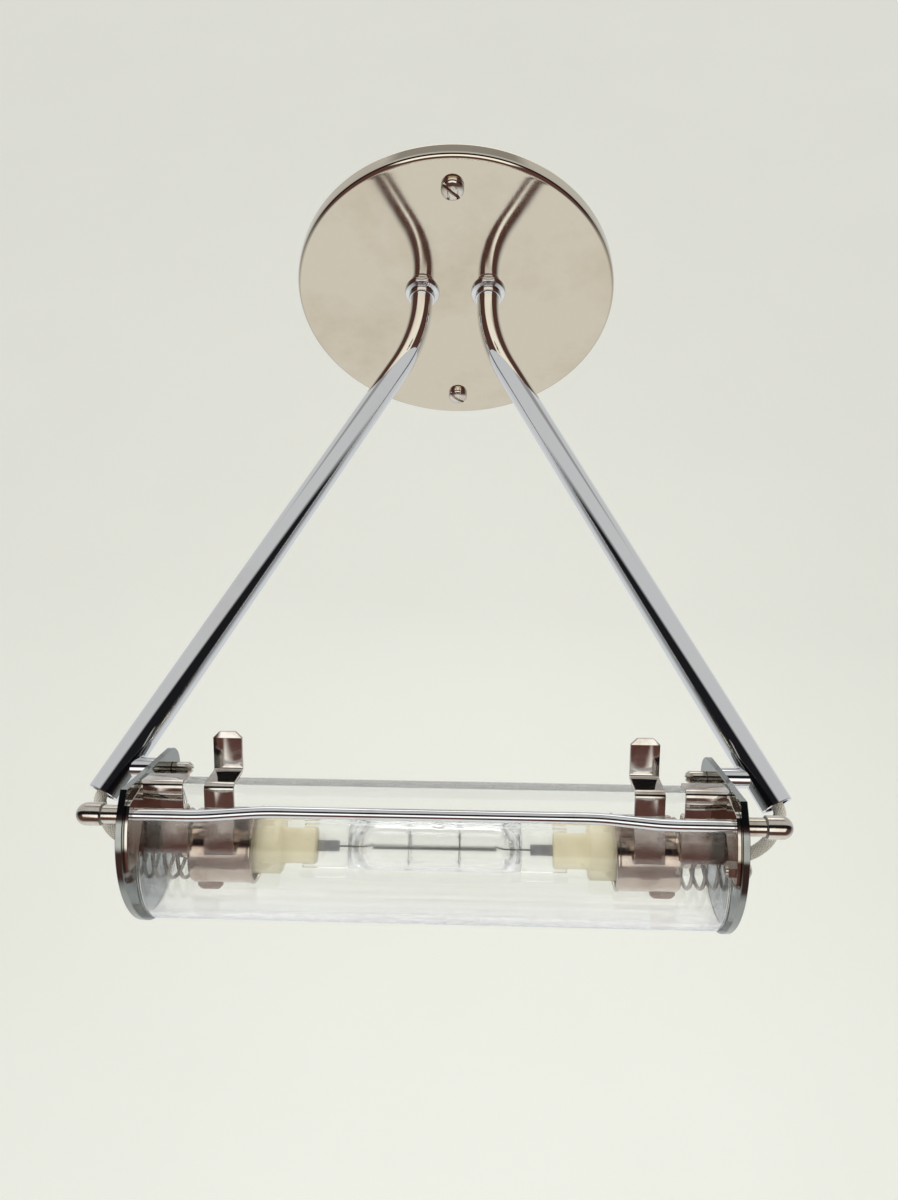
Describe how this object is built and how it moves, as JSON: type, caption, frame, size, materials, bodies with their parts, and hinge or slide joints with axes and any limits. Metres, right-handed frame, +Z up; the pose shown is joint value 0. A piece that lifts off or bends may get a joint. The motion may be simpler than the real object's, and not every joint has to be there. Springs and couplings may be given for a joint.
{
  "type": "ceiling lamp",
  "caption": "Ceiling lamp: round mirror canopy, splayed tube arms and a tilting clear glass tube head with a linear lamp in sprung holders.",
  "frame": {"origin": "centre of the canopy's open rim, in the plane of the ceiling", "axes": "+Z up into the ceiling, X along the glass tube with +X to the right in the picture, -Y towards the open side of the head and the camera"},
  "size_m": [0.1978, 0.129, 0.2502],
  "materials": {
    "canopy_nickel": "mirror-polished warm nickel plate on sheet steel, faintly tarnished",
    "nickel": "bright warm nickel plate on steel screws and nuts",
    "zinc": "zinc-plated steel, dull grey",
    "chrome": "bright chrome plate on steel",
    "arm_chrome": "mirror chrome plate on drawn steel tube",
    "plate_chrome": "mirror chrome plate on stamped steel sheet",
    "strip_nickel": "bright nickel plate on stamped spring strip",
    "cup_nickel": "nickel plate on drawn sheet, browned by heat",
    "spring_steel": "bright spring steel wire",
    "contact_brass": "nickelled brass, matt",
    "clear_glass": "clear borosilicate glass, ground ends",
    "quartz": "clear quartz, slightly wavy at the seals",
    "ceramic": "unglazed white steatite",
    "lamp_ceramic": "unglazed cream steatite",
    "lead_sleeve": "woven glass-fibre sleeve, pale beige",
    "molybdenum": "thin grey foil",
    "tungsten": "dark grey coiled wire"
  },
  "bodies": {
    "fixture": {"canopy": "canopy_nickel", "canopy_screws": "nickel", "crossbar": "zinc", "earth_screw": "zinc", "left_collar": "chrome", "right_collar": "chrome", "lock_nuts": "zinc", "left_arm": "arm_chrome", "right_arm": "arm_chrome", "left_spacer": "chrome", "right_spacer": "chrome", "pivot_screws": "nickel", "left_lead": "lead_sleeve", "right_lead": "lead_sleeve"},
    "head": {"left_end_plate": "plate_chrome", "right_end_plate": "plate_chrome", "tie_rod": "chrome", "cap_nuts": "nickel", "glass_tube": "clear_glass", "left_bracket": "strip_nickel", "right_bracket": "strip_nickel", "plate_screw": "nickel", "left_guide": "zinc", "right_guide": "zinc", "left_spring": "spring_steel", "right_spring": "spring_steel", "lamp_quartz": "quartz", "lamp_bases": "lamp_ceramic", "lamp_contacts": "nickel", "lamp_foils": "molybdenum", "lamp_filament": "tungsten"},
    "left_holder": {"left_cup": "cup_nickel", "left_insulator": "ceramic", "left_contact": "contact_brass", "left_finger_strap": "strip_nickel"},
    "right_holder": {"right_cup": "cup_nickel", "right_insulator": "ceramic", "right_contact": "contact_brass", "right_finger_strap": "strip_nickel"}
  },
  "joints": [
    {"name": "head_tilt", "type": "hinge", "parent": "fixture", "child": "head", "pos_m": [0, -0.006, -0.2088], "axis": [1, 0, 0], "range_deg": [-85, 85], "deforming": ["left_lead", "right_lead"]},
    {"name": "left_holder_slide", "type": "slide", "parent": "head", "child": "left_holder", "axis": [-1, 0, 0], "range_m": [0, 0.0035], "stiffness_N_per_m": 600, "springref_m": -0.004, "deforming": ["left_spring"]},
    {"name": "right_holder_slide", "type": "slide", "parent": "head", "child": "right_holder", "axis": [1, 0, 0], "range_m": [0, 0.0035], "stiffness_N_per_m": 600, "springref_m": -0.004, "deforming": ["right_spring"]}
  ]
}
